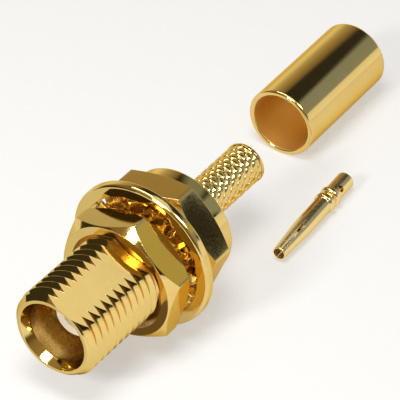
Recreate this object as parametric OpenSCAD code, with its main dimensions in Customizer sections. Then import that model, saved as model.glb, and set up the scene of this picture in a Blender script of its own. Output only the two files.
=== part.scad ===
// Coaxial push-on panel jack for a crimped cable: a threaded bulkhead body with
// its insulator, nut and lock washer, and the loose crimp ferrule and centre
// contact that go on the cable. Millimetres, the connector's axis along Y, the
// mating mouth towards -Y, the origin on the axis at the flange's panel seat.

/* [Socket] */
// Diameter of the mating bore
socket_d = 3.5; // [3.2:0.05:3.8]
// Depth of the mating bore, mouth to floor
socket_depth = 4; // [3.4:0.1:5]
// Radial growth of the lead-in cone at the mouth
lead_rise = 0.21; // [0.1:0.01:0.3]
// Length of the lead-in cone
lead_len = 0.5; // [0.3:0.05:0.8]
// Depth of the snap groove in the bore's wall
snap_depth = 0.1; // [0.05:0.01:0.16]
// Width of the snap groove
snap_w = 0.6; // [0.4:0.05:0.8]
// Distance from the mouth to the snap groove
snap_at = 2.1; // [1.6:0.1:2.6]

/* [Barrel] */
// Wall from the mating bore to the thread's crest
barrel_wall = 0.75; // [0.68:0.01:1]
// Length of the barrel, panel seat to mouth
barrel_len = 8.5; // [7.5:0.1:11]
// Pitch of the thread
thread_pitch = 0.5; // [0.4:0.05:0.6]
// Radial drop of the chamfer at the mouth
mouth_drop = 0.34; // [0.25:0.01:0.36]
// Length of the run-out groove beside the flange
runout_len = 0.55; // [0.4:0.05:0.8]
// Depth of the barrel's flat below the crest
flat_cut = 0.38; // [0.3:0.01:0.42]

/* [Flange] */
// Radial width of the flange, thread crest to flat of the hexagon
flange_rim = 0.82; // [0.6:0.02:1.2]
// Thickness of the hexagonal flange
flange_t = 1.74; // [1.4:0.02:2.4]
// Radial step from the hexagon's flat to the round boss behind it
boss_step = 0.19; // [0.12:0.01:0.3]
// Length of the round boss behind the flange
boss_len = 0.93; // [0.6:0.01:1.4]
// Angle of the flange's chamfers
flange_chamfer_deg = 26; // [20:1:40]

/* [Crimp stem] */
// Bore of the stem, for the cable's core
stem_bore = 1.6; // [1.4:0.05:1.8]
// Wall of the stem under the knurl
stem_wall = 0.31; // [0.2:0.01:0.4]
// Height of the knurl
knurl_height = 0.07; // [0.05:0.01:0.14]
// Length of the stem
stem_len = 5.85; // [4.5:0.05:8]
// Diamonds around the knurl
knurl_count = 12; // [8:1:20]
// Length of one diamond along the stem
knurl_pitch = 0.64; // [0.45:0.01:0.9]
// Turn of the knurl about the axis, from the barrel's flat
knurl_turn = 23; // [0:1:30]
// Length of the smooth lip at the end of the stem
stem_lip = 0.2; // [0.14:0.01:0.3]

/* [Insulator] */
// Diameter of the insulator
insulator_d = 2.06; // [1.96:0.02:2.5]
// Recess of the insulator's face behind the mouth
insulator_recess = 1.68; // [1.2:0.02:2.4]
// Reach of the insulator behind the panel seat
insulator_tail = 1.9; // [1.4:0.1:2.4]
// Clearance of the insulator in its bore
insulator_gap = 0.02; // [0.01:0.005:0.04]
// Clearance of the contact in the insulator's hole
contact_gap = 0.02; // [0.01:0.005:0.04]

/* [Nut] */
// Radial width of the nut, thread crest to flat
nut_rim = 0.8; // [0.6:0.01:1]
// Thickness of the nut
nut_t = 1.74; // [1.4:0.02:2.2]
// Clearance of the nut over the thread's crest
nut_gap = 0.16; // [0.15:0.01:0.2]
// Drop of the loose nut below the barrel's axis
nut_drop = 0.13; // [0:0.01:0.13]
// Radial depth of the countersinks in the nut's hole
nut_sink = 0.14; // [0.08:0.01:0.2]
// Angle of the nut's chamfers
nut_chamfer_deg = 39; // [30:1:42]
// Turn of the nut about the axis, from a corner straight up
nut_turn = 13; // [0:1:60]

/* [Lock washer] */
// Radial width of the washer, thread crest to rim
washer_band = 1.72; // [1.5:0.02:2.2]
// Radial width of the washer's plain ring
washer_ring = 0.7; // [0.5:0.02:0.9]
// Thickness of the washer's sheet
washer_t = 0.55; // [0.4:0.01:0.65]
// Number of inner teeth
tooth_count = 14; // [10:1:18]
// Width of a tooth
tooth_w = 0.74; // [0.5:0.02:0.84]
// Thickness of a tooth
tooth_t = 0.5; // [0.3:0.01:0.6]
// Twist of each tooth about its own length
tooth_twist = 34; // [20:1:40]
// Clearance of the teeth over the thread's crest
tooth_gap = 0.15; // [0.14:0.01:0.2]
// Lift of the loose washer above the barrel's axis, as it stands on the table
washer_lift = 0.12; // [0:0.01:0.12]
// Free gap from the washer's teeth to the panel seat
seat_gap = 0.44; // [0.2:0.01:0.8]
// Gap between the washer's teeth and the nut
nut_seat_gap = 0.17; // [0.02:0.01:0.25]
// Turn of the washer about the axis, from a gap between teeth to the side
washer_turn = 19; // [0:1:36]

/* [Crimp ferrule] */
// Outer diameter of the ferrule
ferrule_d = 4.1; // [3.7:0.05:4.6]
// Wall of the ferrule
ferrule_wall = 0.31; // [0.22:0.01:0.45]
// Length of the ferrule
ferrule_len = 7.8; // [6:0.1:10]
// Sideways place of the ferrule's near end
ferrule_x = -1.82; // [-3:0.01:0]
// Gap from the end of the stem to the ferrule
ferrule_gap = 6.05; // [4:0.05:9]
// Yaw of the ferrule on the table
ferrule_yaw = 0.9; // [-3:0.1:3]

/* [Centre contact] */
// Diameter of the contact's shank
contact_d = 1.04; // [0.96:0.01:1.12]
// Diameter of the contact's tip
contact_tip_d = 0.74; // [0.64:0.01:0.84]
// Bore of the contact's socket
contact_bore = 0.52; // [0.44:0.01:0.56]
// Length of the tapered, slotted front
contact_taper = 2.6; // [2:0.05:3]
// Slot between the contact's fingers at its root
contact_slot = 0.25; // [0.15:0.01:0.3]
// Slot between the fingers at the tip
contact_slot_tip = 0.07; // [0.04:0.01:0.1]
// Diameter of the retaining collars
collar_d = 1.2; // [1.14:0.01:1.36]
// Width of one collar
collar_w = 0.42; // [0.3:0.01:0.45]
// Distance from the tip to the first collar's middle
collar_at = 4.98; // [4.4:0.02:5.4]
// Spacing of the two collars
collar_step = 0.59; // [0.52:0.01:0.7]
// Length of the wire barrel behind the collars
wire_barrel_len = 1.54; // [1.2:0.02:2.2]
// Diameter of the wire barrel
wire_barrel_d = 1; // [0.9:0.01:1.08]
// Bore of the wire barrel
wire_bore = 0.6; // [0.5:0.01:0.64]
// Inspection hole in the wire barrel
inspection_d = 0.32; // [0.2:0.01:0.4]
// Distance from the wire barrel's end to the inspection hole
inspection_back = 0.85; // [0.7:0.01:1]
// Turn of the inspection hole about the axis, from straight up
inspection_turn = 62; // [0:1:90]
// Turn of the slot about the axis, from lying level
slot_turn = 40; // [0:1:90]
// Sideways place of the contact's tip
contact_x = 3.37; // [2.6:0.01:5]
// Distance from the panel seat to the contact's tip
contact_y = 6.71; // [5:0.01:9]
// Yaw of the contact on the table
contact_yaw = 3.8; // [-8:0.1:8]

/* [Lie] */
// Turn of the connector about its axis, from the barrel's flat straight up
connector_turn = 22; // [0:1:60]

/* [Hidden] */

$fn = 96;
gold = [0.83, 0.69, 0.38];
gold_pale = [0.86, 0.76, 0.48];
ptfe = [0.95, 0.92, 0.88];

// Overlap of joined solids and overrun of cuts
bite = 0.2;
// Small edge breaks on turned pieces
edge = 0.08;
// Height of the stem's lip over the knurl's tips
lip_proud = 0.01;
// Set-back of a hexagon's chamfer circle from its flats
chamfer_inset = 0.06;

crest_r = socket_d / 2 + barrel_wall;
thread_depth = 0.45 * thread_pitch;
root_r = crest_r - thread_depth;
crest_flat = thread_pitch / 8;
root_flat = thread_pitch / 8;
flank = (thread_pitch - crest_flat - root_flat) / 2;
thread_turns = floor((barrel_len - mouth_drop - runout_len - flank) / thread_pitch);

flange_af = 2 * (crest_r + flange_rim);
nut_af = 2 * (crest_r + nut_rim);
boss_r = flange_af / 2 - boss_step;
boss_end = flange_t + boss_len;
stem_end = boss_end + stem_len;
stem_root_r = stem_bore / 2 + stem_wall;
stem_r = stem_root_r + knurl_height;
lip_r = stem_r + lip_proud;
lip_start = stem_end - stem_lip;
// The knurl ends inside the lip
knurl_end = lip_start + stem_lip / 4;
knurl_rows = ceil((knurl_end - boss_end + bite / 2) / (knurl_pitch / 2));

insulator_r = insulator_d / 2;
contact_hole_r = contact_d / 2 + contact_gap;

washer_r = crest_r + washer_band;
ring_inner_r = washer_r - washer_ring;
tooth_inner_r = crest_r + tooth_gap;
// Half the height that a twisted tooth takes along the axis
tooth_half = (tooth_w * sin(tooth_twist) + tooth_t * cos(tooth_twist)) / 2;
washer_mid = -seat_gap - tooth_half;
nut_back = washer_mid - tooth_half - nut_seat_gap;

floor_z = washer_lift - washer_r;
collar_r = collar_d / 2;
contact_len = collar_at + collar_step + collar_w / 2 + wire_barrel_len;

// Lays a piece turned about Z along +Y, with its -Y side up, then turns it about the axis
module lie_down(turn = 0) {
    rotate([0, turn, 0])
        rotate([-90, 0, 0])
            children();
}

// Hexagon across flats af, from z0 to z1, chamfered at both faces, one corner towards -Y
module chamfered_hex(af, z0, z1, chamfer_deg) {
    corner_r = af / sqrt(3);
    face_r = af / 2 - chamfer_inset;
    drop = (corner_r + bite - face_r) * tan(chamfer_deg);
    intersection() {
        translate([0, 0, z0])
            rotate(-90)
                cylinder(r = corner_r, h = z1 - z0, $fn = 6);
        rotate_extrude()
            polygon([
                [0, z0], [face_r, z0], [corner_r + bite, z0 + drop],
                [corner_r + bite, z1 - drop], [face_r, z1], [0, z1]
            ]);
    }
}

// One thread's outline: crest, flank and root, from z towards the mouth
function thread_points(z) = [
    [crest_r, z],
    [crest_r, z - crest_flat],
    [root_r, z - crest_flat - flank],
    [root_r, z - crest_flat - flank - root_flat]
];

// The barrel with its thread as ring grooves, and the boss and core of the stem
module turned_outside() {
    first_crest = -runout_len - flank;
    rotate_extrude()
        polygon(concat(
            [[0, bite], [root_r, bite], [root_r, -runout_len]],
            [for (k = [0:thread_turns - 1]) each thread_points(first_crest - k * thread_pitch)],
            [
                [crest_r, first_crest - thread_turns * thread_pitch],
                [crest_r, mouth_drop - barrel_len],
                [crest_r - mouth_drop, -barrel_len],
                [0, -barrel_len]
            ]
        ));
    rotate_extrude()
        polygon([
            [0, bite], [boss_r, bite], [boss_r, boss_end - edge], [boss_r - edge, boss_end],
            [stem_root_r, boss_end], [stem_root_r, lip_start], [lip_r, lip_start],
            [lip_r, stem_end - edge], [lip_r - edge, stem_end], [0, stem_end]
        ]);
}

// Everything cut out along the axis: mating bore, insulator bore, cable bore
module turned_inside() {
    mouth = -barrel_len;
    socket_floor = mouth + socket_depth;
    socket_r = socket_d / 2;
    slope = lead_rise / lead_len;
    groove = mouth + snap_at;
    rotate_extrude()
        polygon([
            [0, mouth - bite],
            [socket_r + lead_rise + slope * bite, mouth - bite],
            [socket_r, mouth + lead_len],
            [socket_r, groove],
            [socket_r + snap_depth, groove + snap_depth],
            [socket_r + snap_depth, groove + snap_w - snap_depth],
            [socket_r, groove + snap_w],
            [socket_r, socket_floor],
            [insulator_r + insulator_gap, socket_floor],
            [insulator_r + insulator_gap, insulator_tail],
            [stem_bore / 2, insulator_tail],
            [stem_bore / 2, stem_end - edge],
            [stem_bore / 2 + edge + bite, stem_end + bite],
            [0, stem_end + bite]
        ]);
}

// The flat along one side of the barrel
module barrel_flat() {
    translate([-crest_r - bite, -crest_r - bite, -barrel_len - bite])
        cube([2 * (crest_r + bite), flat_cut + bite, barrel_len + 1.5 * bite]);
}

// Point i of knurl ring j: tips and valleys alternate around and along the stem
function knurl_point(i, j) = let (
    angle = i * 180 / knurl_count,
    r = (i + j) % 2 == 0 ? stem_r : stem_root_r + knurl_height / 8
) [r * cos(angle), r * sin(angle), knurl_end - j * knurl_pitch / 2];

// The two triangles of knurl cell (i, j), split along the valley
function knurl_cell(i, j) = let (
    around = 2 * knurl_count,
    a = j * around + i,
    b = j * around + (i + 1) % around,
    c = a + around,
    d = b + around
) (i + j) % 2 == 0 ? [[a, b, c], [b, d, c]] : [[a, b, d], [a, d, c]];

// Diamond knurl on the stem, from inside the boss to its lip
module knurl() {
    around = 2 * knurl_count;
    polyhedron(
        points = [for (j = [0:knurl_rows]) for (i = [0:around - 1]) knurl_point(i, j)],
        faces = concat(
            [for (j = [0:knurl_rows - 1]) for (i = [0:around - 1]) each knurl_cell(i, j)],
            [[for (i = [around - 1:-1:0]) i]],
            [[for (i = [0:around - 1]) knurl_rows * around + i]]
        ),
        convexity = 4
    );
}

module connector_body() {
    color(gold)
        lie_down(connector_turn)
            difference() {
                union() {
                    difference() {
                        turned_outside();
                        barrel_flat();
                    }
                    chamfered_hex(flange_af, 0, flange_t, flange_chamfer_deg);
                    rotate(knurl_turn)
                        knurl();
                }
                turned_inside();
            }
}

module insulator() {
    face = -barrel_len + insulator_recess;
    color(ptfe)
        lie_down(connector_turn)
            rotate_extrude()
                polygon([
                    [contact_hole_r, face],
                    [insulator_r - edge, face],
                    [insulator_r, face + edge],
                    [insulator_r, insulator_tail],
                    [contact_hole_r + 2 * edge, insulator_tail],
                    [contact_hole_r, insulator_tail - 2 * edge]
                ]);
}

// Ring with twisted inner teeth
module lock_washer() {
    color(gold_pale)
        translate([0, 0, washer_lift])
            lie_down(washer_turn)
                translate([0, 0, washer_mid]) {
                    difference() {
                        cylinder(r = washer_r, h = washer_t, center = true);
                        cylinder(r = ring_inner_r, h = washer_t + bite, center = true);
                    }
                    for (k = [0:tooth_count - 1])
                        rotate((k + 0.5) * 360 / tooth_count)
                            translate([tooth_inner_r, 0, 0])
                                rotate([tooth_twist, 0, 0])
                                    translate([0, -tooth_w / 2, -tooth_t / 2])
                                        cube([ring_inner_r - tooth_inner_r + bite, tooth_w, tooth_t]);
                }
}

module hex_nut() {
    nut_front = nut_back - nut_t;
    hole_r = crest_r + nut_gap;
    color(gold_pale)
        translate([0, 0, -nut_drop])
            lie_down(nut_turn)
                difference() {
                    chamfered_hex(nut_af, nut_front, nut_back, nut_chamfer_deg);
                    rotate_extrude()
                        polygon([
                            [0, nut_front - bite], [hole_r + nut_sink + bite, nut_front - bite],
                            [hole_r, nut_front + nut_sink], [hole_r, nut_back - nut_sink],
                            [hole_r + nut_sink + bite, nut_back + bite], [0, nut_back + bite]
                        ]);
                }
}

// Plain tube with rounded lips
module crimp_ferrule() {
    outer_r = ferrule_d / 2;
    inner_r = outer_r - ferrule_wall;
    round_r = ferrule_wall / 2;
    color(gold)
        translate([ferrule_x, stem_end + ferrule_gap, floor_z + outer_r])
            rotate([0, 0, ferrule_yaw])
                lie_down()
                    rotate_extrude()
                        union() {
                            translate([inner_r, round_r])
                                square([ferrule_wall, ferrule_len - 2 * round_r]);
                            for (z = [round_r, ferrule_len - round_r])
                                translate([inner_r + round_r, z])
                                    circle(r = round_r, $fn = 32);
                        }
}

// Turned outline of the contact, tip at zero
module contact_outline() {
    shank_r = contact_d / 2;
    barrel_r = wire_barrel_d / 2;
    collar_1 = collar_at;
    collar_2 = collar_at + collar_step;
    half = collar_w / 2;
    soft = half / 2;
    polygon([
        [0, 0], [contact_tip_d / 2 - edge / 2, 0], [contact_tip_d / 2, edge / 2],
        [shank_r, contact_taper],
        [shank_r, collar_1 - half], [collar_r, collar_1 - half + soft],
        [collar_r, collar_1 + half - soft], [shank_r, collar_1 + half],
        [shank_r, collar_2 - half], [collar_r, collar_2 - half + soft],
        [collar_r, collar_2 + half - soft], [barrel_r, collar_2 + half],
        [barrel_r, contact_len - edge], [barrel_r - edge, contact_len], [0, contact_len]
    ]);
}

module centre_contact() {
    color(gold)
        translate([contact_x, contact_y, floor_z + collar_r])
            rotate([0, 0, contact_yaw])
                lie_down()
                    difference() {
                        rotate_extrude()
                            contact_outline();
                        translate([0, 0, -bite])
                            cylinder(d = contact_bore, h = contact_taper + bite);
                        // One slot across the front makes two sprung fingers
                        rotate([90, 0, slot_turn])
                            linear_extrude(height = 2 * contact_d, center = true)
                                polygon([
                                    [-contact_slot_tip / 2, -bite], [contact_slot_tip / 2, -bite],
                                    [contact_slot / 2, contact_taper], [-contact_slot / 2, contact_taper]
                                ]);
                        translate([0, 0, contact_len - wire_barrel_len])
                            cylinder(d = wire_bore, h = wire_barrel_len + bite);
                        translate([0, 0, contact_len - inspection_back])
                            rotate([90, 0, inspection_turn])
                                cylinder(d = inspection_d, h = wire_barrel_d);
                    }
}

connector_body();
insulator();
lock_washer();
hex_nut();
crimp_ferrule();
centre_contact();
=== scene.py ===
import math

import bmesh
import bpy
import numpy as np
from mathutils import Matrix, Vector


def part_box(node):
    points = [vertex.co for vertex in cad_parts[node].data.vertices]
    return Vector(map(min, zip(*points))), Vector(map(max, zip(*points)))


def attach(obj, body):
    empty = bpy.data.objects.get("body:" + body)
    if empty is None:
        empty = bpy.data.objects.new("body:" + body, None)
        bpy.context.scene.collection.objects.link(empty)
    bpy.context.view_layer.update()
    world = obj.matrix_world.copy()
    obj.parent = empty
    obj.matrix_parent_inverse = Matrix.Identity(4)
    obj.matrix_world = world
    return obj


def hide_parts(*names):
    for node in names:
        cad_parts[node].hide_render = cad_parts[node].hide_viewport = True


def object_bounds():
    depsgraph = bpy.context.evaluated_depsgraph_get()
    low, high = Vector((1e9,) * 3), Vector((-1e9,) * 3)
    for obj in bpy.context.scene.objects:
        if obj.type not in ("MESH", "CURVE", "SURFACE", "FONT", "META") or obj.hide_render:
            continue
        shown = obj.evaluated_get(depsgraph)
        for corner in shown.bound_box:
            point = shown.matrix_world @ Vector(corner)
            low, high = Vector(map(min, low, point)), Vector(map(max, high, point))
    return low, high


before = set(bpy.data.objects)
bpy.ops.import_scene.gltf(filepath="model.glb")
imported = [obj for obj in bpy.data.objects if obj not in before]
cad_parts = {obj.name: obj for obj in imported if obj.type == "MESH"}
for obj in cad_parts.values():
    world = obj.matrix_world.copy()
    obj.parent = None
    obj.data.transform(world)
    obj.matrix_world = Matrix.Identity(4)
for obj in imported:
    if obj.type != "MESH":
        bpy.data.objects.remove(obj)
cad_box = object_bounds()

# Lengths are millimetres until a mesh is finished, angles are degrees.
# Round the axis, an angle of 0 points along +X and 90 straight up.
MM = 0.001
SEGMENTS = 180
CONTACT_SEGMENTS = 96
BORE_SEGMENTS = 64
DRILL_SEGMENTS = 48
ARC_STEPS = 5
SMOOTH_DEG = 28


def node_box(node):
    """Lowest and highest corner of a node, in millimetres."""
    low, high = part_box(node)
    return low / MM, high / MM


BODY_LOW, BODY_HIGH = node_box("connector_body")
NUT_LOW, NUT_HIGH = node_box("hex_nut")
WASHER_LOW, WASHER_HIGH = node_box("lock_washer")
FERRULE_LOW = node_box("crimp_ferrule")[0]
CONTACT_LOW = node_box("centre_contact")[0]
INSULATOR_LOW, INSULATOR_HIGH = node_box("insulator")
FLOOR_Z = cad_box[0].z / MM
MOUTH = BODY_LOW.y
STEM_END = BODY_HIGH.y

# Barrel
CREST_R = 2.5
PITCH = 0.5
THREAD_DEPTH = 0.27
THREAD_PHASE = 0.22
CREST_HALF = 0.01
THREAD_ROUND = 0.03
ROOT_R = CREST_R - THREAD_DEPTH
MOUTH_DROP = 0.34
RUNOUT = 0.55
FLAT_DEG = 68
FLAT_R = 2.12

# Socket
SOCKET_R = 1.75
SOCKET_DEPTH = 4.0
LEAD_RISE = 0.21
LEAD_LEN = 0.5
LEAD_EASE = 0.04
SNAP_DEPTH = 0.1
SNAP_ROUND = 0.05
SNAP_W = 0.6
SNAP_AT = 2.1

# Flange, boss and crimp stem
FLANGE_AF = 6.64
FLANGE_T = 1.74
FLANGE_CHAMFER = 26
BOSS_R = 3.13
BOSS_END = 2.67
BOSS_ROUND = 0.12
STEM_BORE_R = 0.8
STEM_ROOT_R = 1.127
STEM_R = 1.18
STEM_FOOT = 0.05
STEM_LIP = 0.2
STEM_LIP_R = STEM_R + 0.01
STEM_LIP_ROUND = 0.16
STEM_LIP_FOOT = 0.04
KNURL_COUNT = 12
KNURL_PITCH = 0.64
KNURL_PHASE = 0.25
KNURL_DOME = 3
KNURL_FACET = 10
KNURL_SINK = 0.1
KNURL_STEPS = (0, 0.05, 0.13, 0.25, 0.4, 0.6, 0.75, 0.87, 0.95)

# Insulator
INSULATOR_GAP = 0.02
INSULATOR_CHAMFER = 0.16
CONTACT_GAP = 0.02

# Hexagons of flange and nut
HEX_BREAK = 0.05
HEX_LAND = 0.06
HEX_COLUMNS = 48

# Nut and washer
NUT_AF = 6.6
NUT_CHAMFER = 39
NUT_DEG = 77
NUT_HOLE_R = 2.66
NUT_SINK = 0.14
TAP_GAP = 0.16
WASHER_RING = 0.7
WASHER_T = 0.55
WASHER_FRONT_ROUND = 0.2
WASHER_BACK_ROUND = 0.12
WASHER_HOLE_ROUND = 0.05
TOOTH_COUNT = 14
TOOTH_DEG = 45.3
TOOTH_W = 0.74
TOOTH_T = 0.5
TOOTH_TWIST = 34
TOOTH_INNER_R = 2.65
TOOTH_ROUND = 0.08
TOOTH_ROOT = 0.2
TOOTH_TIP = 0.06
TIP_SHRINK = 0.9
BEND_BEFORE = 0.04
BEND_AFTER = 0.3
BEND_STEPS = 6

# Loose pieces
FERRULE_R = 2.05
FERRULE_WALL = 0.31
FERRULE_LEN = 7.799
FERRULE_YAW = 0.9
FERRULE_X = -1.82
CONTACT_R = 0.52
CONTACT_TIP_R = 0.37
CONTACT_BORE_R = 0.26
CONTACT_LEAD_R = 0.315
CONTACT_LEAD_LEN = 0.5
CONTACT_LEAD_STEP = 0.1
DRILL_TIP = 0.15
CONTACT_TIP_ROUND = 0.06
CONTACT_TAPER = 2.6
CONTACT_BLEND = 0.5
SLOT_ROOT_W = 0.25
SLOT_MID_W = 0.05
SLOT_TIP_W = 0.02
SLOT_LEN = 2.3
SLOT_DEG = 66
COLLAR_R = 0.6
COLLAR_W = 0.42
COLLAR_AT = 4.98
COLLAR_STEP = 0.59
COLLAR_GAP_R = 0.4
COLLAR_SLOPE = 0.06
COLLAR_BULGE = 0.1
COLLAR_FOOT = 0.04
CONTACT_LEN = 7.32
WIRE_BARREL_LEN = 1.54
WIRE_BARREL_R = 0.5
WIRE_BORE_R = 0.3
INSPECTION_R = 0.19
INSPECTION_AT = 6.12
INSPECTION_DEG = 43
CONTACT_YAW = 3.8
CONTACT_X = 3.37

# Small rounding on worked edges
EDGE = 0.025
SOFT_EDGE = 0.07


# Mesh helpers
ON_AXIS = 1e-6
ROUND_SHARE = 0.49


def around(radius, y, degrees):
    """Point at a radius and an angle round the Y axis."""
    angle = math.radians(degrees)
    return (radius * math.cos(angle), y, radius * math.sin(angle))


def rounded(corners, closed=False, steps=ARC_STEPS):
    """Outline through corners (a, b) or (a, b, rounding), each rounding drawn as a curve."""
    path = []
    count = len(corners)
    for index, corner in enumerate(corners):
        here = Vector(corner[:2])
        inner = closed or 0 < index < count - 1
        if len(corner) < 3 or not inner:
            path.append(tuple(here))
            continue
        before = Vector(corners[index - 1][:2]) - here
        after = Vector(corners[(index + 1) % count][:2]) - here
        reach = min(corner[2], ROUND_SHARE * before.length, ROUND_SHARE * after.length)
        first = here + before.normalized() * reach
        last = here + after.normalized() * reach
        for step in range(steps + 1):
            t = step / steps
            path.append(tuple(first * (1 - t) ** 2 + here * 2 * t * (1 - t) + last * t ** 2))
    return path


def lathe(profile, closed=False, segments=SEGMENTS):
    """Surface turned round Y from (radius, y) points; a closed profile makes a ring."""
    verts = []
    rows = []
    for radius, y in profile:
        start = len(verts)
        if radius < ON_AXIS:
            verts.append((0.0, y, 0.0))
            rows.append([start] * segments)
        else:
            verts.extend(around(radius, y, 360 * i / segments) for i in range(segments))
            rows.append(list(range(start, start + segments)))
    faces = []
    for lower, upper in zip(rows, rows[1:] + (rows[:1] if closed else [])):
        for i in range(segments):
            j = (i + 1) % segments
            face = list(dict.fromkeys([lower[i], lower[j], upper[j], upper[i]]))
            if len(face) > 2:
                faces.append(face)
    return verts, faces


def solid(verts, faces):
    """New object in millimetres from one closed surface, faces turned outwards."""
    mesh = bpy.data.meshes.new("solid")
    mesh.from_pydata([tuple(v) for v in verts], [], faces)
    work = bmesh.new()
    work.from_mesh(mesh)
    bmesh.ops.recalc_face_normals(work, faces=work.faces)
    work.to_mesh(mesh)
    work.free()
    piece = bpy.data.objects.new("solid", mesh)
    bpy.context.scene.collection.objects.link(piece)
    return piece


def combine(base, tool, operation):
    """Joins, cuts or intersects base with tool, and uses the tool up."""
    step = base.modifiers.new(operation, "BOOLEAN")
    step.operation = operation
    step.solver = "MANIFOLD"
    step.object = tool
    graph = bpy.context.evaluated_depsgraph_get()
    result = bpy.data.meshes.new_from_object(base.evaluated_get(graph))
    base.modifiers.clear()
    base.data = result
    bpy.data.objects.remove(tool)
    return base


def block(size, centre, basis=None):
    """Box of a full size, placed by its centre and, if given, three axes."""
    axes = basis or (Vector((1, 0, 0)), Vector((0, 1, 0)), Vector((0, 0, 1)))
    verts = []
    for sx in (-0.5, 0.5):
        for sy in (-0.5, 0.5):
            for sz in (-0.5, 0.5):
                offset = axes[0] * sx * size[0] + axes[1] * sy * size[1] + axes[2] * sz * size[2]
                verts.append(Vector(centre) + offset)
    faces = [(0, 1, 3, 2), (4, 6, 7, 5), (0, 4, 5, 1), (2, 3, 7, 6), (0, 2, 6, 4), (1, 5, 7, 3)]
    return solid(verts, faces)


def fan_caps(verts, faces, loops):
    """Closes each boundary loop with a fan to its middle on the axis."""
    for loop in loops:
        centre = len(verts)
        verts.append((0.0, sum(verts[i][1] for i in loop) / len(loop), 0.0))
        for a, b in zip(loop, loop[1:] + loop[:1]):
            faces.append([a, b, centre])


def threaded_rod(start, end, grow=0.0):
    """Closed right-hand threaded rod that covers start to end, made larger by grow."""
    tooth = rounded([
        (0, CREST_R), (CREST_HALF, CREST_R, THREAD_ROUND),
        (PITCH / 2 - CREST_HALF, ROOT_R, THREAD_ROUND), (PITCH / 2, ROOT_R),
    ], steps=3)
    rise = [(-along / PITCH, radius) for along, radius in reversed(tooth)]
    profile = rise[1:] + [(along / PITCH, radius) for along, radius in tooth[1:]]
    per_turn = len(profile)
    turns = math.ceil((end - start) / PITCH) + 3
    rows = per_turn * turns + 1
    verts = []
    for i in range(SEGMENTS):
        for k in range(rows):
            part, radius = profile[k % per_turn]
            along = k // per_turn + part + i / SEGMENTS - 2 - THREAD_PHASE
            verts.append(around(radius + grow, start + PITCH * along, -360 * i / SEGMENTS))
    faces = []
    for i in range(SEGMENTS):
        shift = 0 if i < SEGMENTS - 1 else per_turn
        a, b = i * rows, ((i + 1) % SEGMENTS) * rows + shift
        for k in range(rows - 1 - shift):
            faces.append([a + k, a + k + 1, b + k + 1, b + k])
    last = (SEGMENTS - 1) * rows
    low = [i * rows for i in range(SEGMENTS)] + list(range(per_turn, 0, -1))
    high = [i * rows + rows - 1 for i in range(SEGMENTS)]
    high += [last + k for k in range(rows - 2, rows - 2 - per_turn, -1)]
    fan_caps(verts, faces, [low, high])
    return solid(verts, faces)


def hexagon(flats, y0, y1, chamfer_deg, corner_deg):
    """Hexagonal block with turned chamfers on both faces and slightly broken edges."""
    half = flats / 2
    face_r = half - HEX_LAND
    slope = math.tan(math.radians(chamfer_deg))
    run = EDGE * math.cos(math.radians(chamfer_deg))
    rise = EDGE * math.sin(math.radians(chamfer_deg))
    corner_centre = (half - HEX_BREAK) / math.cos(math.radians(30))
    columns = 6 * HEX_COLUMNS
    mid = 0.25
    verts = [(0.0, y0, 0.0), (0.0, y1, 0.0)]
    for i in range(columns):
        turn = 60 * (i % HEX_COLUMNS) / HEX_COLUMNS
        off_flat = math.radians(turn - 30)
        off_corner = math.radians(min(turn, 60 - turn))
        side_r = half / math.cos(off_flat)
        reach = HEX_BREAK ** 2 - (corner_centre * math.sin(off_corner)) ** 2
        if reach > 0:
            side_r = min(side_r, corner_centre * math.cos(off_corner) + math.sqrt(reach))
        drop = (side_r - face_r) * slope
        outline = [
            (face_r - EDGE, 0.0), (face_r + mid * (run - EDGE), mid * rise), (face_r + run, rise),
            (side_r - run, drop - rise), (side_r - mid * run, drop + mid * (EDGE - rise)),
            (side_r, drop + EDGE),
        ]
        degrees = corner_deg + 360 * i / columns
        for radius, depth in outline:
            verts.append(around(radius, y0 + depth, degrees))
        for radius, depth in reversed(outline):
            verts.append(around(radius, y1 - depth, degrees))
    rows = 2 * len(outline)
    faces = []
    for i in range(columns):
        a, b = 2 + i * rows, 2 + (i + 1) % columns * rows
        faces.append([0, a, b])
        faces.append([1, b + rows - 1, a + rows - 1])
        for k in range(rows - 1):
            faces.append([a + k, a + k + 1, b + k + 1, b + k])
    return solid(verts, faces)


def mark_inside(piece, radius, low, high):
    """Marks the faces nearer to the Y axis than a radius, between two heights, as a dull inside."""
    corners = np.array([vert.co for vert in piece.data.vertices])
    near = np.hypot(corners[:, 0], corners[:, 2]) < radius
    near &= (corners[:, 1] > low) & (corners[:, 1] < high)
    inside = piece.data.attributes.new("inside", "BOOLEAN", "FACE")
    inside.data.foreach_set("value", [all(near[list(face.vertices)]) for face in piece.data.polygons])


def lay(piece, x, y, z, yaw):
    """Moves a piece that was made along Y from the origin to its place."""
    piece.data.transform(Matrix.Translation((x, y, z)) @ Matrix.Rotation(math.radians(yaw), 4, "Z"))
    return piece


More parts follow.
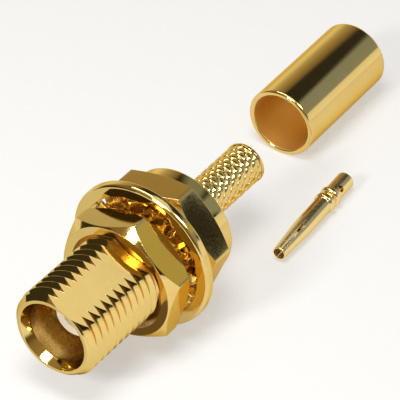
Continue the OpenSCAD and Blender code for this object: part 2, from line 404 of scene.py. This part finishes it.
# Connector body
def knurl():
    """Diamond knurl: a closed sleeve of domed diamonds between crossing grooves."""
    cell = [(part, 1 - abs(2 * part - 1) ** KNURL_DOME) for part in KNURL_STEPS]
    per_cell = len(cell)
    height = STEM_R - STEM_ROOT_R
    top = STEM_END - STEM_LIP / 2
    cycle = 2 * KNURL_COUNT * per_cell
    first = math.floor(2 * (BOSS_END - KNURL_SINK - top) / KNURL_PITCH * per_cell)
    index = {}
    verts = []

    def place(i, j):
        key = ((i + j) % cycle, i - j)
        if key not in index:
            part_a, high_a = cell[i % per_cell]
            part_b, high_b = cell[j % per_cell]
            a = i // per_cell + part_a
            b = j // per_cell + part_b
            degrees = (a + b) / 2 * 360 / KNURL_COUNT
            y = top + ((a - b) / 2 - KNURL_PHASE) * KNURL_PITCH
            off_middle = min(abs(part_a + part_b - 1) / 2 * 360 / KNURL_COUNT, KNURL_FACET)
            facet = math.cos(math.radians(KNURL_FACET)) / math.cos(math.radians(off_middle))
            index[key] = len(verts)
            verts.append(around(STEM_ROOT_R * facet + height * high_a * high_b, y, degrees))
        return index[key]

    faces = []
    for n in range(first, 1):
        for m in range(n % 2, cycle, 2):
            i, j = (m + n) // 2, (m - n) // 2
            faces.append([place(i, j), place(i + 1, j), place(i + 1, j + 1), place(i, j + 1)])
    loops = []
    for inner, outer in ((first, first - 1), (0, 1)):
        rim = [(m, index[(m, n)]) for n in (inner, outer) for m in range(n % 2, cycle, 2)]
        loops.append([vert for _, vert in sorted(rim)])
    fan_caps(verts, faces, loops)
    return solid(verts, faces)


def connector_body():
    """Turned body: threaded barrel with its flat, hexagonal flange, boss and knurled stem."""
    thread_end = -RUNOUT
    clear = 0.05
    body = threaded_rod(MOUTH, thread_end)
    envelope = [
        (0, MOUTH), (CREST_R - MOUTH_DROP, MOUTH, EDGE),
        (CREST_R + clear, MOUTH + MOUTH_DROP + clear), (CREST_R + clear, thread_end), (0, thread_end),
    ]
    combine(body, solid(*lathe(rounded(envelope))), "INTERSECT")
    runout = [(0, thread_end - clear), (ROOT_R, thread_end - clear), (ROOT_R, 2 * clear), (0, 2 * clear)]
    combine(body, solid(*lathe(runout)), "UNION")
    normal = Vector(around(1, 0, FLAT_DEG))
    side = Vector(around(1, 0, FLAT_DEG - 90))
    depth = 1.0
    length = clear - MOUTH + depth
    middle = normal * (FLAT_R + depth / 2) + Vector((0, clear - length / 2, 0))
    flat = block((depth, length, 2 * CREST_R + depth), middle, (normal, Vector((0, 1, 0)), side))
    combine(body, flat, "DIFFERENCE")
    combine(body, hexagon(FLANGE_AF, 0, FLANGE_T, FLANGE_CHAMFER, FLAT_DEG), "UNION")
    rear = [
        (0, FLANGE_T / 2), (BOSS_R, FLANGE_T / 2), (BOSS_R, BOSS_END, BOSS_ROUND),
        (STEM_ROOT_R, BOSS_END, STEM_FOOT), (STEM_ROOT_R, STEM_END - STEM_LIP),
        (STEM_LIP_R, STEM_END - STEM_LIP, STEM_LIP_FOOT), (STEM_LIP_R, STEM_END, STEM_LIP_ROUND),
        (0, STEM_END),
    ]
    combine(body, solid(*lathe(rounded(rear))), "UNION")
    combine(body, knurl(), "UNION")
    floor = MOUTH + SOCKET_DEPTH
    groove = MOUTH + SNAP_AT
    slope = LEAD_RISE / LEAD_LEN
    nest_r = INSULATOR_HIGH.x + INSULATOR_GAP
    bore = [
        (0, MOUTH - 1), (SOCKET_R + LEAD_RISE + EDGE + 1, MOUTH - 1),
        (SOCKET_R + LEAD_RISE + EDGE, MOUTH), (SOCKET_R + LEAD_RISE, MOUTH + EDGE),
        (SOCKET_R + slope * LEAD_EASE, MOUTH + LEAD_LEN - LEAD_EASE),
        (SOCKET_R, MOUTH + LEAD_LEN + LEAD_EASE),
        (SOCKET_R, groove), (SOCKET_R + SNAP_DEPTH, groove + SNAP_DEPTH, SNAP_ROUND),
        (SOCKET_R + SNAP_DEPTH, groove + SNAP_W - SNAP_DEPTH, SNAP_ROUND), (SOCKET_R, groove + SNAP_W),
        (SOCKET_R, floor), (nest_r, floor), (nest_r, INSULATOR_HIGH.y),
        (STEM_BORE_R, INSULATOR_HIGH.y), (STEM_BORE_R, STEM_END - SOFT_EDGE),
        (STEM_BORE_R + SOFT_EDGE, STEM_END), (STEM_BORE_R + SOFT_EDGE, STEM_END + 1), (0, STEM_END + 1),
    ]
    combine(body, solid(*lathe(rounded(bore))), "DIFFERENCE")
    mark_inside(body, SOCKET_R + SNAP_DEPTH + EDGE, MOUTH + LEAD_LEN, floor + EDGE)
    return body


def insulator():
    """White sleeve inside the socket, with a hole for the centre contact."""
    outer = INSULATOR_HIGH.x
    hole = CONTACT_R + CONTACT_GAP
    low, high = INSULATOR_LOW.y, INSULATOR_HIGH.y
    profile = [
        (hole, low, EDGE), (outer, low, SOFT_EDGE), (outer, high),
        (hole + INSULATOR_CHAMFER, high), (hole, high - INSULATOR_CHAMFER),
    ]
    return solid(*lathe(rounded(profile, closed=True), closed=True))


# Nut and washer
def hex_nut():
    """Hexagonal nut with a tapped hole, countersunk at both faces."""
    low, high = NUT_LOW.y, NUT_HIGH.y
    nut = hexagon(NUT_AF, low, high, NUT_CHAMFER, NUT_DEG)
    combine(nut, threaded_rod(MOUTH, -RUNOUT, TAP_GAP), "DIFFERENCE")
    over = 0.3
    sink_r = NUT_HOLE_R + NUT_SINK
    for face, way in ((low, 1), (high, -1)):
        inner = face + way * (sink_r - ROOT_R)
        cone = [(0, face - way * over), (sink_r + over, face - way * over), (ROOT_R, inner), (0, inner)]
        combine(nut, solid(*lathe(cone)), "DIFFERENCE")
    mark_inside(nut, sink_r + EDGE, low - EDGE, high + EDGE)
    return lay(nut, 0, 0, (NUT_LOW.z + NUT_HIGH.z) / 2, 0)


def washer_tooth(degrees):
    """Inner tooth, bent out of the ring's plane as it leaves the ring."""
    middle = (WASHER_LOW.y + WASHER_HIGH.y) / 2
    ring_r = WASHER_HIGH.x - WASHER_RING
    corners = ((-1, -1), (1, -1), (1, 1), (-1, 1))
    section = rounded(
        [(sx * TOOTH_W / 2, sy * TOOTH_T / 2, TOOTH_ROUND) for sx, sy in corners], closed=True,
    )
    outward = Vector(around(1, 0, degrees))
    tangent = Vector(around(1, 0, degrees + 90))
    axis = Vector((0, 1, 0))
    bend_start = ring_r + BEND_BEFORE
    stations = [ring_r + TOOTH_ROOT, bend_start]
    stations += [ring_r - BEND_AFTER * k / BEND_STEPS for k in range(1, BEND_STEPS + 1)]
    stations += [TOOTH_INNER_R + TOOTH_TIP, TOOTH_INNER_R]
    verts = []
    for number, radius in enumerate(stations):
        ease = min(max((bend_start - radius) / (BEND_BEFORE + BEND_AFTER), 0), 1)
        twist = math.radians(TOOTH_TWIST) * ease * ease * (3 - 2 * ease)
        wide = tangent * math.cos(twist) - axis * math.sin(twist)
        thick = tangent * math.sin(twist) + axis * math.cos(twist)
        shrink = TIP_SHRINK if number == len(stations) - 1 else 1.0
        for u, v in section:
            verts.append(outward * radius + axis * middle + wide * u * shrink + thick * v * shrink)
    count = len(section)
    faces = [list(range(count)), list(range(len(verts) - count, len(verts)))]
    for row in range(len(stations) - 1):
        for k in range(count):
            a, b = row * count + k, row * count + (k + 1) % count
            faces.append([a, b, b + count, a + count])
    return solid(verts, faces)


def lock_washer():
    """Stamped ring with twisted inner teeth."""
    middle = (WASHER_LOW.y + WASHER_HIGH.y) / 2
    outer = WASHER_HIGH.x
    low, high = middle - WASHER_T / 2, middle + WASHER_T / 2
    inner = outer - WASHER_RING
    profile = [
        (inner, low, WASHER_HOLE_ROUND), (outer, low, WASHER_FRONT_ROUND),
        (outer, high, WASHER_BACK_ROUND), (inner, high, WASHER_HOLE_ROUND),
    ]
    washer = solid(*lathe(rounded(profile, closed=True), closed=True))
    for k in range(TOOTH_COUNT):
        combine(washer, washer_tooth(TOOTH_DEG + 360 * k / TOOTH_COUNT), "UNION")
    mark_inside(washer, inner + EDGE, WASHER_LOW.y - EDGE, WASHER_HIGH.y + EDGE)
    return lay(washer, 0, 0, (WASHER_LOW.z + WASHER_HIGH.z) / 2, 0)


# Loose pieces
def crimp_ferrule():
    """Plain tube with rounded lips."""
    inner = FERRULE_R - FERRULE_WALL
    soft = FERRULE_WALL / 2
    profile = [
        (inner, 0, soft), (FERRULE_R, 0, soft), (FERRULE_R, FERRULE_LEN, soft), (inner, FERRULE_LEN, soft),
    ]
    tube = solid(*lathe(rounded(profile, closed=True), closed=True))
    mark_inside(tube, inner + EDGE, 0, FERRULE_LEN)
    near = FERRULE_LOW.y + (FERRULE_R - soft) * math.sin(math.radians(FERRULE_YAW))
    return lay(tube, FERRULE_X, near, FLOOR_Z + FERRULE_R, FERRULE_YAW)


def collar(middle):
    """Rounded top of one collar on the contact."""
    half = COLLAR_W / 2 - COLLAR_SLOPE
    return [(COLLAR_R, middle - half, COLLAR_BULGE), (COLLAR_R, middle + half, COLLAR_BULGE)]


def slot_cutter():
    """Wedge that parts the contact's two fingers, wider towards their root."""
    across = Vector(around(1, 0, SLOT_DEG))
    beside = Vector(around(1, 0, SLOT_DEG + 90))
    over = 0.2
    widths = [(-over, SLOT_TIP_W), (SLOT_LEN / 2, SLOT_MID_W), (SLOT_LEN, SLOT_ROOT_W)]
    outline = [(y, width / 2) for y, width in widths]
    outline += [(y, -width / 2) for y, width in reversed(widths)]
    count = len(outline)
    verts = [across * reach + beside * off + Vector((0, y, 0)) for reach in (-1, 1) for y, off in outline]
    faces = [list(range(count)), list(range(count, 2 * count))]
    faces += [[k, (k + 1) % count, count + (k + 1) % count, count + k] for k in range(count)]
    return solid(verts, faces)


def inspection_cutter():
    """Drill for the hole in the side of the wire barrel."""
    drill = solid(*lathe([(0, 0), (INSPECTION_R, 0), (INSPECTION_R, 1), (0, 1)], segments=DRILL_SEGMENTS))
    turn = Vector(around(1, 0, INSPECTION_DEG)).to_track_quat("Y", "Z").to_matrix().to_4x4()
    drill.data.transform(Matrix.Translation((0, INSPECTION_AT, 0)) @ turn)
    return drill


def centre_contact():
    """Turned socket contact with two sprung fingers, two collars and a wire barrel."""
    half = COLLAR_W / 2
    first, second = COLLAR_AT, COLLAR_AT + COLLAR_STEP
    profile = [
        (0, 0), (CONTACT_TIP_R, 0, CONTACT_TIP_ROUND), (CONTACT_R, CONTACT_TAPER, CONTACT_BLEND),
        (CONTACT_R, first - half, COLLAR_FOOT), *collar(first),
        (COLLAR_GAP_R, first + half, COLLAR_FOOT), (COLLAR_GAP_R, second - half, COLLAR_FOOT),
        *collar(second), (WIRE_BARREL_R, second + half, COLLAR_FOOT),
        (WIRE_BARREL_R, CONTACT_LEN, SOFT_EDGE), (0, CONTACT_LEN),
    ]
    contact = solid(*lathe(rounded(profile), segments=CONTACT_SEGMENTS))
    socket = [
        (0, -1), (CONTACT_LEAD_R, -1), (CONTACT_LEAD_R, CONTACT_LEAD_LEN),
        (CONTACT_BORE_R, CONTACT_LEAD_LEN + CONTACT_LEAD_STEP),
        (CONTACT_BORE_R, CONTACT_TAPER), (0, CONTACT_TAPER + DRILL_TIP),
    ]
    wire_start = CONTACT_LEN - WIRE_BARREL_LEN
    wire = [
        (0, wire_start - DRILL_TIP), (WIRE_BORE_R, wire_start),
        (WIRE_BORE_R, CONTACT_LEN + 1), (0, CONTACT_LEN + 1),
    ]
    for bore in (socket, wire):
        combine(contact, solid(*lathe(bore, segments=BORE_SEGMENTS)), "DIFFERENCE")
    combine(contact, slot_cutter(), "DIFFERENCE")
    combine(contact, inspection_cutter(), "DIFFERENCE")
    near = CONTACT_LOW.y + CONTACT_TIP_R * math.sin(math.radians(CONTACT_YAW))
    return lay(contact, CONTACT_X, near, FLOOR_Z + COLLAR_R, CONTACT_YAW)


# Materials
NOISE_LOW = 0.3
NOISE_HIGH = 0.7


def plug(tree, socket, value):
    """Sets a socket to a value, or links it to another node's output."""
    if isinstance(value, bpy.types.NodeSocket):
        tree.links.new(value, socket)
    else:
        socket.default_value = value


def add(tree, kind, inputs):
    """New node with its sockets set to values or linked to other nodes' outputs."""
    node = tree.nodes.new(kind)
    for name, value in inputs.items():
        plug(tree, node.inputs[name], value)
    return node


def blend_colours(tree, factor, first, second):
    """Mixes two colours by a factor."""
    mix = tree.nodes.new("ShaderNodeMix")
    mix.data_type = "RGBA"
    for name, value in (("Factor", factor), ("A", first), ("B", second)):
        plug(tree, mix.inputs[name], value)
    return mix.outputs["Result"]


def new_material(name):
    """Material with an empty Principled shader; returns it, its tree and that shader."""
    material = bpy.data.materials.new(name)
    material.use_nodes = True
    return material, material.node_tree, material.node_tree.nodes["Principled BSDF"]


def remap(tree, value, low, high):
    """Spreads a noise value over a range."""
    node = add(tree, "ShaderNodeMapRange", {
        "Value": value, "From Min": NOISE_LOW, "From Max": NOISE_HIGH, "To Min": low, "To Max": high,
    })
    return node.outputs["Result"]


def spread_tints(tree, shader, noise, tints):
    """Gives a shader two tints, mixed by a noise."""
    first, second = [(*tint, 1) for tint in tints]
    tint = blend_colours(tree, remap(tree, noise, 0.0, 1.0), first, second)
    tree.links.new(tint, shader.inputs["Base Color"])


# Two tints for each finish, mixed in soft patches
PLATE = ((0.80, 0.59, 0.21), (0.79, 0.56, 0.19))
# The ferrule bore's tints are brighter than the plate's: painted light that stands in for more light
# falling inside the tube.
PLATE_BORE_PAINTED_BRIGHT = ((0.95, 0.67, 0.22), (0.94, 0.64, 0.20))
PLATE_TAPPED = ((0.90, 0.70, 0.38), (0.89, 0.68, 0.36))
PLATE_PALE = ((0.88, 0.69, 0.31), (0.87, 0.66, 0.29))
WAXY_WHITE = ((0.91, 0.82, 0.72), (0.95, 0.89, 0.80))
EDGE_TINT = (0.8, 0.6, 0.3)
PATCH_SCALE = 700.0
GRAIN_SCALE = 9000.0
LINE_SCALE = (400.0, 22000.0, 400.0)
CLOUD_SCALE = 2500.0
CLOUD_HEIGHT = 2e-6
WAX_ROUGHNESS = 0.45


def gold(name, tints, roughness, lathe_lines, grain):
    """Polished gold plate: slight shifts of tint and gloss, turning lines and fine grain."""
    material, tree, shader = new_material(name)
    place = tree.nodes.new("ShaderNodeTexCoord").outputs["Object"]
    patches = add(tree, "ShaderNodeTexNoise", {"Vector": place, "Scale": PATCH_SCALE, "Detail": 3.0})
    spread_tints(tree, shader, patches.outputs["Fac"], tints)
    fine = add(tree, "ShaderNodeTexNoise", {"Vector": place, "Scale": GRAIN_SCALE, "Detail": 2.0})
    gloss = remap(tree, fine.outputs["Fac"], roughness[0], roughness[1])
    tree.links.new(gloss, shader.inputs["Roughness"])
    stretch = add(tree, "ShaderNodeMapping", {"Vector": place, "Scale": LINE_SCALE})
    lines = add(tree, "ShaderNodeTexNoise", {
        "Vector": stretch.outputs["Vector"], "Scale": 1.0, "Detail": 1.0,
    })
    turned = add(tree, "ShaderNodeBump", {"Height": lines.outputs["Fac"], "Distance": lathe_lines})
    bump = add(tree, "ShaderNodeBump", {
        "Height": fine.outputs["Fac"], "Distance": grain, "Normal": turned.outputs["Normal"],
    })
    tree.links.new(bump.outputs["Normal"], shader.inputs["Normal"])
    shader.inputs["Metallic"].default_value = 1.0
    shader.inputs["Specular Tint"].default_value = (*EDGE_TINT, 1)
    return material


def ptfe(name):
    """Waxy white plastic."""
    material, tree, shader = new_material(name)
    place = tree.nodes.new("ShaderNodeTexCoord").outputs["Object"]
    cloud = add(tree, "ShaderNodeTexNoise", {"Vector": place, "Scale": CLOUD_SCALE, "Detail": 3.0})
    spread_tints(tree, shader, cloud.outputs["Fac"], WAXY_WHITE)
    bump = add(tree, "ShaderNodeBump", {"Height": cloud.outputs["Fac"], "Distance": CLOUD_HEIGHT})
    tree.links.new(bump.outputs["Normal"], shader.inputs["Normal"])
    shader.inputs["Roughness"].default_value = WAX_ROUGHNESS
    return material


def crisp_flat(mesh):
    """Keeps the barrel's flat apart from the thread's flanks that meet it at a shallow angle."""
    work = bmesh.new()
    work.from_mesh(mesh)
    normal = Vector(around(1, 0, FLAT_DEG))
    same_way = 0.9999
    for edge in work.edges:
        sides = [face.normal.dot(normal) > same_way for face in edge.link_faces]
        if any(sides) and not all(sides):
            edge.smooth = False
    work.to_mesh(mesh)
    work.free()


def weigh_normals(piece):
    """Lets large faces shade flat, so that only the narrow rounded edges catch the light."""
    step = piece.modifiers.new("normals", "WEIGHTED_NORMAL")
    step.keep_sharp = True
    step.thresh = 0
    graph = bpy.context.evaluated_depsgraph_get()
    result = bpy.data.meshes.new_from_object(piece.evaluated_get(graph))
    piece.modifiers.clear()
    piece.data = result


def finish_piece(piece, name, node, body, material, dull=None):
    """Names and paints a piece, turns it to metres and hands it to its body."""
    piece.data.materials.clear()
    piece.data.materials.append(material)
    if dull:
        piece.data.materials.append(dull)
        marks = [mark.value for mark in piece.data.attributes["inside"].data]
        piece.data.polygons.foreach_set("material_index", marks)
    piece.data.shade_smooth()
    piece.data.set_sharp_from_angle(angle=math.radians(SMOOTH_DEG))
    crisp_flat(piece.data)
    weigh_normals(piece)
    piece.data.transform(Matrix.Scale(MM, 4))
    piece.name = name
    piece.data.name = name
    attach(piece, body)
    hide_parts(node)


finish_piece(connector_body(), "jack_body", "connector_body", "connector",
             gold("body gold", PLATE, roughness=(0.06, 0.1), lathe_lines=0.3e-6, grain=0.6e-6),
             gold("socket gold", PLATE, roughness=(0.25, 0.32), lathe_lines=1.0e-6, grain=0.6e-6))
finish_piece(insulator(), "jack_insulator", "insulator", "connector",
             ptfe("insulator white"))
finish_piece(lock_washer(), "toothed_washer", "lock_washer", "washer",
             gold("washer gold", PLATE, roughness=(0.05, 0.09), lathe_lines=0.2e-6, grain=0.8e-6),
             gold("tooth gold", PLATE, roughness=(0.2, 0.28), lathe_lines=0.2e-6, grain=0.8e-6))
finish_piece(hex_nut(), "panel_nut", "hex_nut", "nut",
             gold("nut gold", PLATE, roughness=(0.06, 0.1), lathe_lines=0.8e-6, grain=1.0e-6),
             gold("tapped gold", PLATE_TAPPED, roughness=(0.26, 0.34), lathe_lines=0.8e-6, grain=1.0e-6))
# The ferrule's inside gets the brighter bore tints, painted light for its dim bore.
finish_piece(crimp_ferrule(), "ferrule_tube", "crimp_ferrule", "connector",
             gold("ferrule gold", PLATE, roughness=(0.06, 0.09), lathe_lines=0.3e-6, grain=0.6e-6),
             gold("ferrule bore gold painted brighter", PLATE_BORE_PAINTED_BRIGHT, roughness=(0.5, 0.58), lathe_lines=0.3e-6, grain=0.6e-6))
finish_piece(centre_contact(), "socket_contact", "centre_contact", "connector",
             gold("contact gold", PLATE_PALE, roughness=(0.14, 0.2), lathe_lines=0.6e-6, grain=0.6e-6))


# Studio
WORLD_LIGHT = (0.38, 0.36, 0.32)
FLOOR_REACH = 60
FLOOR_Y = 5
FLOOR_GREY = 0.56
FLOOR_LIFT = 0.42
TENT_R = 300
FADE_FROM = 0.5
FADE_TO = 0.75


def colour_ramp(tree, factor, stops):
    """Colours along a factor from 0 to 1."""
    node = add(tree, "ShaderNodeValToRGB", {"Fac": factor})
    points = node.color_ramp.elements
    while len(points) < len(stops):
        points.new(0.5)
    for point, (position, colour) in zip(points, stops):
        point.position = position
        point.color = (*colour, 1)
    return node.outputs["Color"]


def grey(value):
    """Neutral colour of one brightness."""
    return (value, value, value)


def plain_rays(tree):
    """1 for what is seen directly, in metal or through glass, 0 for the light on matt surfaces."""
    path = tree.nodes.new("ShaderNodeLightPath").outputs
    total = path["Is Camera Ray"]
    for kind in ("Is Glossy Ray", "Is Transmission Ray"):
        step = add(tree, "ShaderNodeMath", {0: total, 1: path[kind]})
        step.use_clamp = True
        total = step.outputs["Value"]
    return total


def studio_world():
    """White background over a dim, even light."""
    world = bpy.data.worlds.new("studio")
    bpy.context.scene.world = world
    world.use_nodes = True
    tree = world.node_tree
    tree.nodes.clear()
    dim = add(tree, "ShaderNodeBackground", {"Color": (*WORLD_LIGHT, 1)})
    white = add(tree, "ShaderNodeBackground", {"Color": (*grey(1.0), 1)})
    choice = add(tree, "ShaderNodeMixShader", {
        "Fac": plain_rays(tree), 1: dim.outputs["Background"], 2: white.outputs["Background"],
    })
    output = tree.nodes.new("ShaderNodeOutputWorld")
    tree.links.new(choice.outputs["Shader"], output.inputs["Surface"])


def bare_material(name):
    """Material without nodes; returns it and its tree."""
    material = bpy.data.materials.new(name)
    material.use_nodes = True
    material.node_tree.nodes.clear()
    return material, material.node_tree


def white_floor():
    """Pale floor that keeps the soft shadow."""
    bpy.ops.mesh.primitive_circle_add(vertices=96, radius=FLOOR_REACH * MM, fill_type="NGON")
    floor = bpy.context.object
    floor.name = "floor"
    floor.location = (0, FLOOR_Y * MM, FLOOR_Z * MM)
    material, tree = bare_material("floor white")
    paper = add(tree, "ShaderNodeBsdfDiffuse", {"Color": (*grey(FLOOR_GREY), 1)})
    lift = add(tree, "ShaderNodeMath", {0: plain_rays(tree), 1: FLOOR_LIFT})
    lift.operation = "MULTIPLY"
    glow = add(tree, "ShaderNodeEmission", {"Strength": lift.outputs["Value"]})
    both = add(tree, "ShaderNodeAddShader", {0: paper.outputs["BSDF"], 1: glow.outputs["Emission"]})
    output = tree.nodes.new("ShaderNodeOutputMaterial")
    tree.links.new(both.outputs["Shader"], output.inputs["Surface"])
    floor.data.materials.append(material)


def show_in_metal(board, material, tree, shader):
    """Makes a set piece that is seen only in the metal's reflections."""
    output = tree.nodes.new("ShaderNodeOutputMaterial")
    tree.links.new(shader, output.inputs["Surface"])
    board.name = material.name
    board.data.materials.append(material)
    board.visible_camera = False
    board.visible_diffuse = False
    board.visible_shadow = False


def studio_tent():
    """Tent round the set: a bright ceiling over dim walls."""
    bpy.ops.mesh.primitive_uv_sphere_add(segments=64, ring_count=32, radius=1)
    tent = bpy.context.object
    tent.scale = (TENT_R * MM,) * 3
    material, tree = bare_material("studio tent")
    glow = tree.nodes.new("ShaderNodeEmission")
    material.cycles.emission_sampling = "NONE"
    direction = tree.nodes.new("ShaderNodeTexCoord").outputs["Object"]
    x, y, height = add(tree, "ShaderNodeSeparateXYZ", {"Vector": direction}).outputs
    black, brown = grey(0.03), (0.14, 0.10, 0.05)
    ceiling = [(0.66, black), (0.772, black), (0.786, grey(1.0))]
    left = colour_ramp(tree, height, [
        (0.0, grey(1.0)), (0.1, grey(0.95)), (0.17, grey(0.82)), (0.32, (0.53, 0.48, 0.38)),
        (0.45, (0.42, 0.34, 0.19)), (0.6, (0.23, 0.18, 0.11)),
    ] + ceiling)
    right = colour_ramp(tree, height, [
        (0.0, grey(1.0)), (0.2, grey(0.9)), (0.25, (0.30, 0.35, 0.44)), (0.6, (0.27, 0.32, 0.40)),
    ] + ceiling)
    front = colour_ramp(tree, height, [
        (0.0, grey(0.95)), (0.03, grey(0.8)), (0.07, grey(0.5)), (0.16, brown), (0.3, brown),
        (0.5, (0.27, 0.20, 0.10)), (0.9, (0.33, 0.26, 0.14)),
    ])
    to_right = add(tree, "ShaderNodeMapRange", {"Value": x, "From Min": -0.3, "From Max": 0.3})
    to_back = add(tree, "ShaderNodeMapRange", {"Value": y, "From Min": -0.1, "From Max": 0.3})
    back = blend_colours(tree, to_right.outputs["Result"], left, right)
    walls = blend_colours(tree, to_back.outputs["Result"], front, back)
    tree.links.new(walls, glow.inputs["Color"])
    show_in_metal(tent, material, tree, glow.outputs["Emission"])


def softbox(name, direction, distance, width, height, radiance):
    """Rectangular lamp that shines on the part from a direction, with an even radiance."""
    data = bpy.data.lights.new(name, "AREA")
    data.shape = "RECTANGLE"
    data.size = width * MM
    data.size_y = height * MM
    data.energy = radiance * math.pi * data.size * data.size_y
    lamp = bpy.data.objects.new(name, data)
    way = Vector(direction).normalized()
    lamp.location = way * distance * MM
    lamp.rotation_euler = way.to_track_quat("Z", "Y").to_euler()
    lamp.visible_camera = False
    bpy.context.scene.collection.objects.link(lamp)


def card(name, centre, facing, width, height, colour, soft=False, along=(0, 0, 1)):
    """Coloured card in the set; a soft one is an ellipse that fades out at its rim."""
    bpy.ops.mesh.primitive_grid_add(x_subdivisions=1, y_subdivisions=1, size=1)
    board = bpy.context.object
    board.scale = (width * MM, height * MM, 1)
    board.location = Vector(centre) * MM
    front = Vector(facing).normalized()
    tall = (Vector(along) - front * front.dot(Vector(along))).normalized()
    board.rotation_euler = Matrix((tall.cross(front), tall, front)).transposed().to_euler()
    material, tree = bare_material(name)
    glow = add(tree, "ShaderNodeEmission", {"Color": (*colour, 1)})
    shader = glow.outputs["Emission"]
    if soft:
        place = tree.nodes.new("ShaderNodeTexCoord").outputs["Object"]
        spread = add(tree, "ShaderNodeTexGradient", {"Vector": place})
        spread.gradient_type = "SPHERICAL"
        fade = add(tree, "ShaderNodeMapRange", {
            "Value": spread.outputs["Fac"], "From Min": FADE_FROM, "From Max": FADE_TO,
        })
        clear = tree.nodes.new("ShaderNodeBsdfTransparent").outputs["BSDF"]
        mixed = add(tree, "ShaderNodeMixShader", {"Fac": fade.outputs["Result"], 1: clear, 2: shader})
        shader = mixed.outputs["Shader"]
    show_in_metal(board, material, tree, shader)


def floor_card(name, x, y, lift, width, length, colour):
    """Soft patch just above the floor."""
    card(name, (x, y, FLOOR_Z + lift), (0, 0, 1), width, length, colour, soft=True, along=(0, 1, 0))


studio_world()
white_floor()
studio_tent()
softbox("top softbox", (0.08, -0.2, 0.97), distance=120, width=48, height=48, radiance=9.0)
softbox("front lamp", (-0.095, -0.814, 0.574), distance=120, width=24, height=24, radiance=36.0)

# Far bright cards that only the knurl's flanks mirror
card("knurl card left", (-49.2, 52.2, 96), (0.41, -0.435, -0.80), 18, 60, grey(8.0),
     along=(-0.872, 0.07, -0.483))
card("knurl card right", (66, 47.5, 88), (-0.552, -0.396, -0.733), 30, 36, grey(16.0))

# Cards for the right flats of flange and nut, and for the boss
card("black card", (24.65, 19.84, 10.27), (-0.7225, -0.6366, -0.2685), 3.2, 4.2, grey(0.02))
card("tan card", (20.9, 16.2, 16.8), (-0.613, -0.619, -0.491), 5.5, 6.0, (0.50, 0.45, 0.19))
card("boss card", (1.05, 6.9, 8.0), (-0.3, -0.637, -0.71), 13.0, 3.2, (0.24, 0.28, 0.29), soft=True)

# Dark cards for the thread's front flanks at both sides of the flat
card("left card", (-17.6, -16.4, 5.6), (0.839, 0.545, -0.18), 17.4, 15.8, (0.045, 0.04, 0.025))
card("right card", (14.2, -25.6, 5.34), (-0.516, 0.842, -0.161), 10.0, 9.1, (0.03, 0.02, 0.01))

# What the undersides mirror
floor_card("shade under the barrel", 0.4, -5.4, 0.02, 5.0, 6.4, (0.16, 0.11, 0.06))
floor_card("bright floor", 11, 8, 0.01, 22, 40, grey(0.95))
floor_card("grey floor", -13, -15, 0.01, 44, 40, (0.80, 0.80, 0.74))


# Camera, placed by a fit to the photograph
AZIMUTH = 34.916
ELEVATION = 39.070
CAMERA_AT = (64.7725, -88.5555, 92.1129)
LENS = 252
SENSOR = 36
CLIP_START = 10


def photo_camera():
    """Camera at the photograph's angle, level, looking down on the part."""
    azimuth = math.radians(AZIMUTH)
    elevation = math.radians(ELEVATION)
    back = Vector((
        math.sin(azimuth) * math.cos(elevation),
        -math.cos(azimuth) * math.cos(elevation),
        math.sin(elevation),
    ))
    right = Vector((math.cos(azimuth), math.sin(azimuth), 0))
    up = back.cross(right)
    data = bpy.data.cameras.new("camera")
    data.lens = LENS
    data.sensor_width = SENSOR
    data.clip_start = CLIP_START * MM
    camera = bpy.data.objects.new("camera", data)
    turn = Matrix((right, up, back)).transposed().to_4x4()
    camera.matrix_world = Matrix.Translation(Vector(CAMERA_AT) * MM) @ turn
    bpy.context.scene.collection.objects.link(camera)
    bpy.context.scene.camera = camera


photo_camera()
bpy.context.scene.view_settings.view_transform = "Standard"
